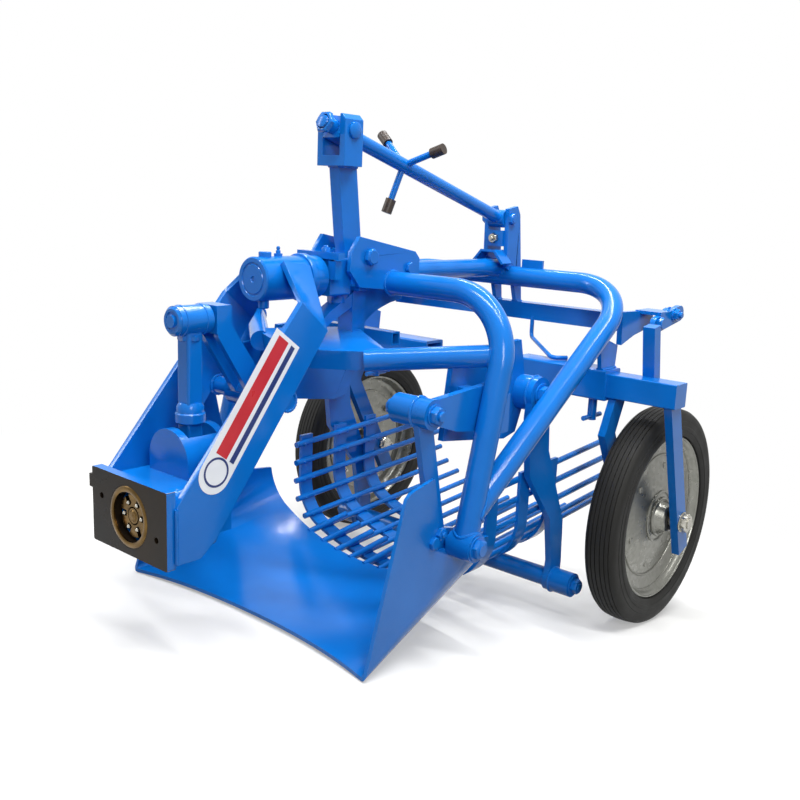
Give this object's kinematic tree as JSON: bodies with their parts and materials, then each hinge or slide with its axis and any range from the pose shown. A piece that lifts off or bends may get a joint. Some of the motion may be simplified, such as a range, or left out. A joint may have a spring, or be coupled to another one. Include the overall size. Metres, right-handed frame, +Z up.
{
  "type": "potato digger",
  "caption": "Two-wheeled potato lifter with a scoop share, a swinging round-bar sieve, a tube frame, a flanged hitch and an adjusting screw.",
  "frame": {"origin": "floor level, on the middle plane, under the middle of the parked machine's length", "axes": "+X to the machine's left, +Y rearward, +Z up; parked nose down on the share's tips and both wheels"},
  "size_m": [0.866, 1.0798, 0.8131],
  "materials": {
    "blue_paint": "glossy blue machine enamel",
    "zinc_steel": "zinc-plated steel",
    "blacked_steel": "dark oiled cast iron",
    "bright_steel": "blue enamel over round bar",
    "grip_plastic": "dark brown end caps",
    "tyre_rubber": "black rubber",
    "galvanised_rim": "galvanised pressed steel"
  },
  "bodies": {
    "frame": {"front_arch_left": "blue_paint", "front_arch_right": "blue_paint", "rear_arch": "blue_paint", "head_plate_left": "blue_paint", "head_plate_right": "blue_paint", "head_pin": "zinc_steel", "spine": "blue_paint", "brace_frame": "blue_paint", "cross_bar": "blue_paint", "screw_lugs": "blue_paint", "lug_pin": "zinc_steel", "rear_bracket_left": "blue_paint", "rear_bracket_right": "blue_paint", "sleeve_left": "blue_paint", "sleeve_right": "blue_paint", "clamp_screw_left": "zinc_steel", "clamp_screw_right": "zinc_steel", "hanger_plate_left": "blue_paint", "hanger_plate_right": "blue_paint", "strut_arm_left": "blue_paint", "strut_arm_right": "blue_paint", "pivot_bolt_left": "zinc_steel", "pivot_bolt_right": "zinc_steel", "share": "blue_paint", "share_strut_left": "blue_paint", "share_strut_right": "blue_paint", "foot_pin_left": "zinc_steel", "foot_pin_right": "zinc_steel"},
    "hitch_head": {"swivel_block": "blue_paint", "mast": "blue_paint"},
    "trunnion": {"trunnion": "blue_paint"},
    "screw": {"adjusting_screw": "blue_paint", "handle_grips": "grip_plastic"},
    "hitch": {"hitch_flange": "blacked_steel", "gear_housing": "blue_paint", "hitch_plate_left": "blue_paint", "hitch_plate_right": "blue_paint", "swivel_tube": "blue_paint", "rocker_shaft": "blue_paint"},
    "pto": {"pto_coupling": "zinc_steel"},
    "rocker": {"rocker_lever": "blue_paint"},
    "con_rod": {"con_rod": "blue_paint"},
    "sieve": {"sieve_rods": "bright_steel", "sieve_tube": "blue_paint", "sieve_link_left": "blue_paint", "sieve_link_right": "blue_paint"},
    "left_wheel_bar": {"wheel_bar_left": "blue_paint", "axle_left": "zinc_steel"},
    "left_wheel": {"tyre_left": "tyre_rubber", "rim_left": "galvanised_rim"},
    "right_wheel_bar": {"wheel_bar_right": "blue_paint", "axle_right": "zinc_steel"},
    "right_wheel": {"tyre_right": "tyre_rubber", "rim_right": "galvanised_rim"}
  },
  "joints": [
    {"name": "hitch_tilt", "type": "hinge", "parent": "frame", "child": "hitch_head", "pos_m": [0, -0.16346, 0.58938], "axis": [1, 0, 0], "range_deg": [-5, 5]},
    {"name": "trunnion_turn", "type": "hinge", "parent": "hitch_head", "child": "trunnion", "pos_m": [0, -0.21721, 0.77582], "axis": [1, 0, 0], "range_deg": [-4.44, 4.44]},
    {"name": "screw_travel", "type": "slide", "parent": "trunnion", "child": "screw", "axis": [0, 0.9895, -0.1445], "range_m": [-0.0164, 0.0164]},
    {"name": "hitch_swivel", "type": "hinge", "parent": "hitch_head", "child": "hitch", "pos_m": [0, -0.35827, 0.53044], "axis": [0, 0.9908, 0.1355], "range_deg": [-8, 8]},
    {"name": "pto_spin", "type": "hinge", "parent": "hitch", "child": "pto", "pos_m": [0, -0.53256, 0.18867], "axis": [0, 0.9908, 0.1355], "continuous": true},
    {"name": "rocker_swing", "type": "hinge", "parent": "hitch", "child": "rocker", "pos_m": [0, -0.33622, 0.36187], "axis": [1, 0, 0], "range_deg": [-4, 4]},
    {"name": "con_rod_swing", "type": "hinge", "parent": "rocker", "child": "con_rod", "pos_m": [0, -0.46516, 0.46334], "axis": [0, 0.9908, 0.1355], "range_deg": [-3, 3]},
    {"name": "sieve_swing", "type": "hinge", "parent": "frame", "child": "sieve", "pos_m": [0, 0.08432, 0.40122], "axis": [1, 0, 0], "range_deg": [-3, 3]},
    {"name": "left_track_slide", "type": "slide", "parent": "frame", "child": "left_wheel_bar", "axis": [1, 0, 0], "range_m": [0, 0.06]},
    {"name": "left_wheel_spin", "type": "hinge", "parent": "left_wheel_bar", "child": "left_wheel", "pos_m": [0.359, 0.33995, 0.2], "axis": [1, 0, 0], "continuous": true},
    {"name": "right_track_slide", "type": "slide", "parent": "frame", "child": "right_wheel_bar", "axis": [-1, 0, 0], "range_m": [0, 0.06]},
    {"name": "right_wheel_spin", "type": "hinge", "parent": "right_wheel_bar", "child": "right_wheel", "pos_m": [-0.359, 0.33995, 0.2], "axis": [1, 0, 0], "continuous": true}
  ],
  "couplings": [
    {"joint": "trunnion_turn", "follows": "hitch_tilt", "ratio": -0.82823},
    {"joint": "screw_travel", "follows": "hitch_tilt", "m_per_rad": 0.17658}
  ]
}
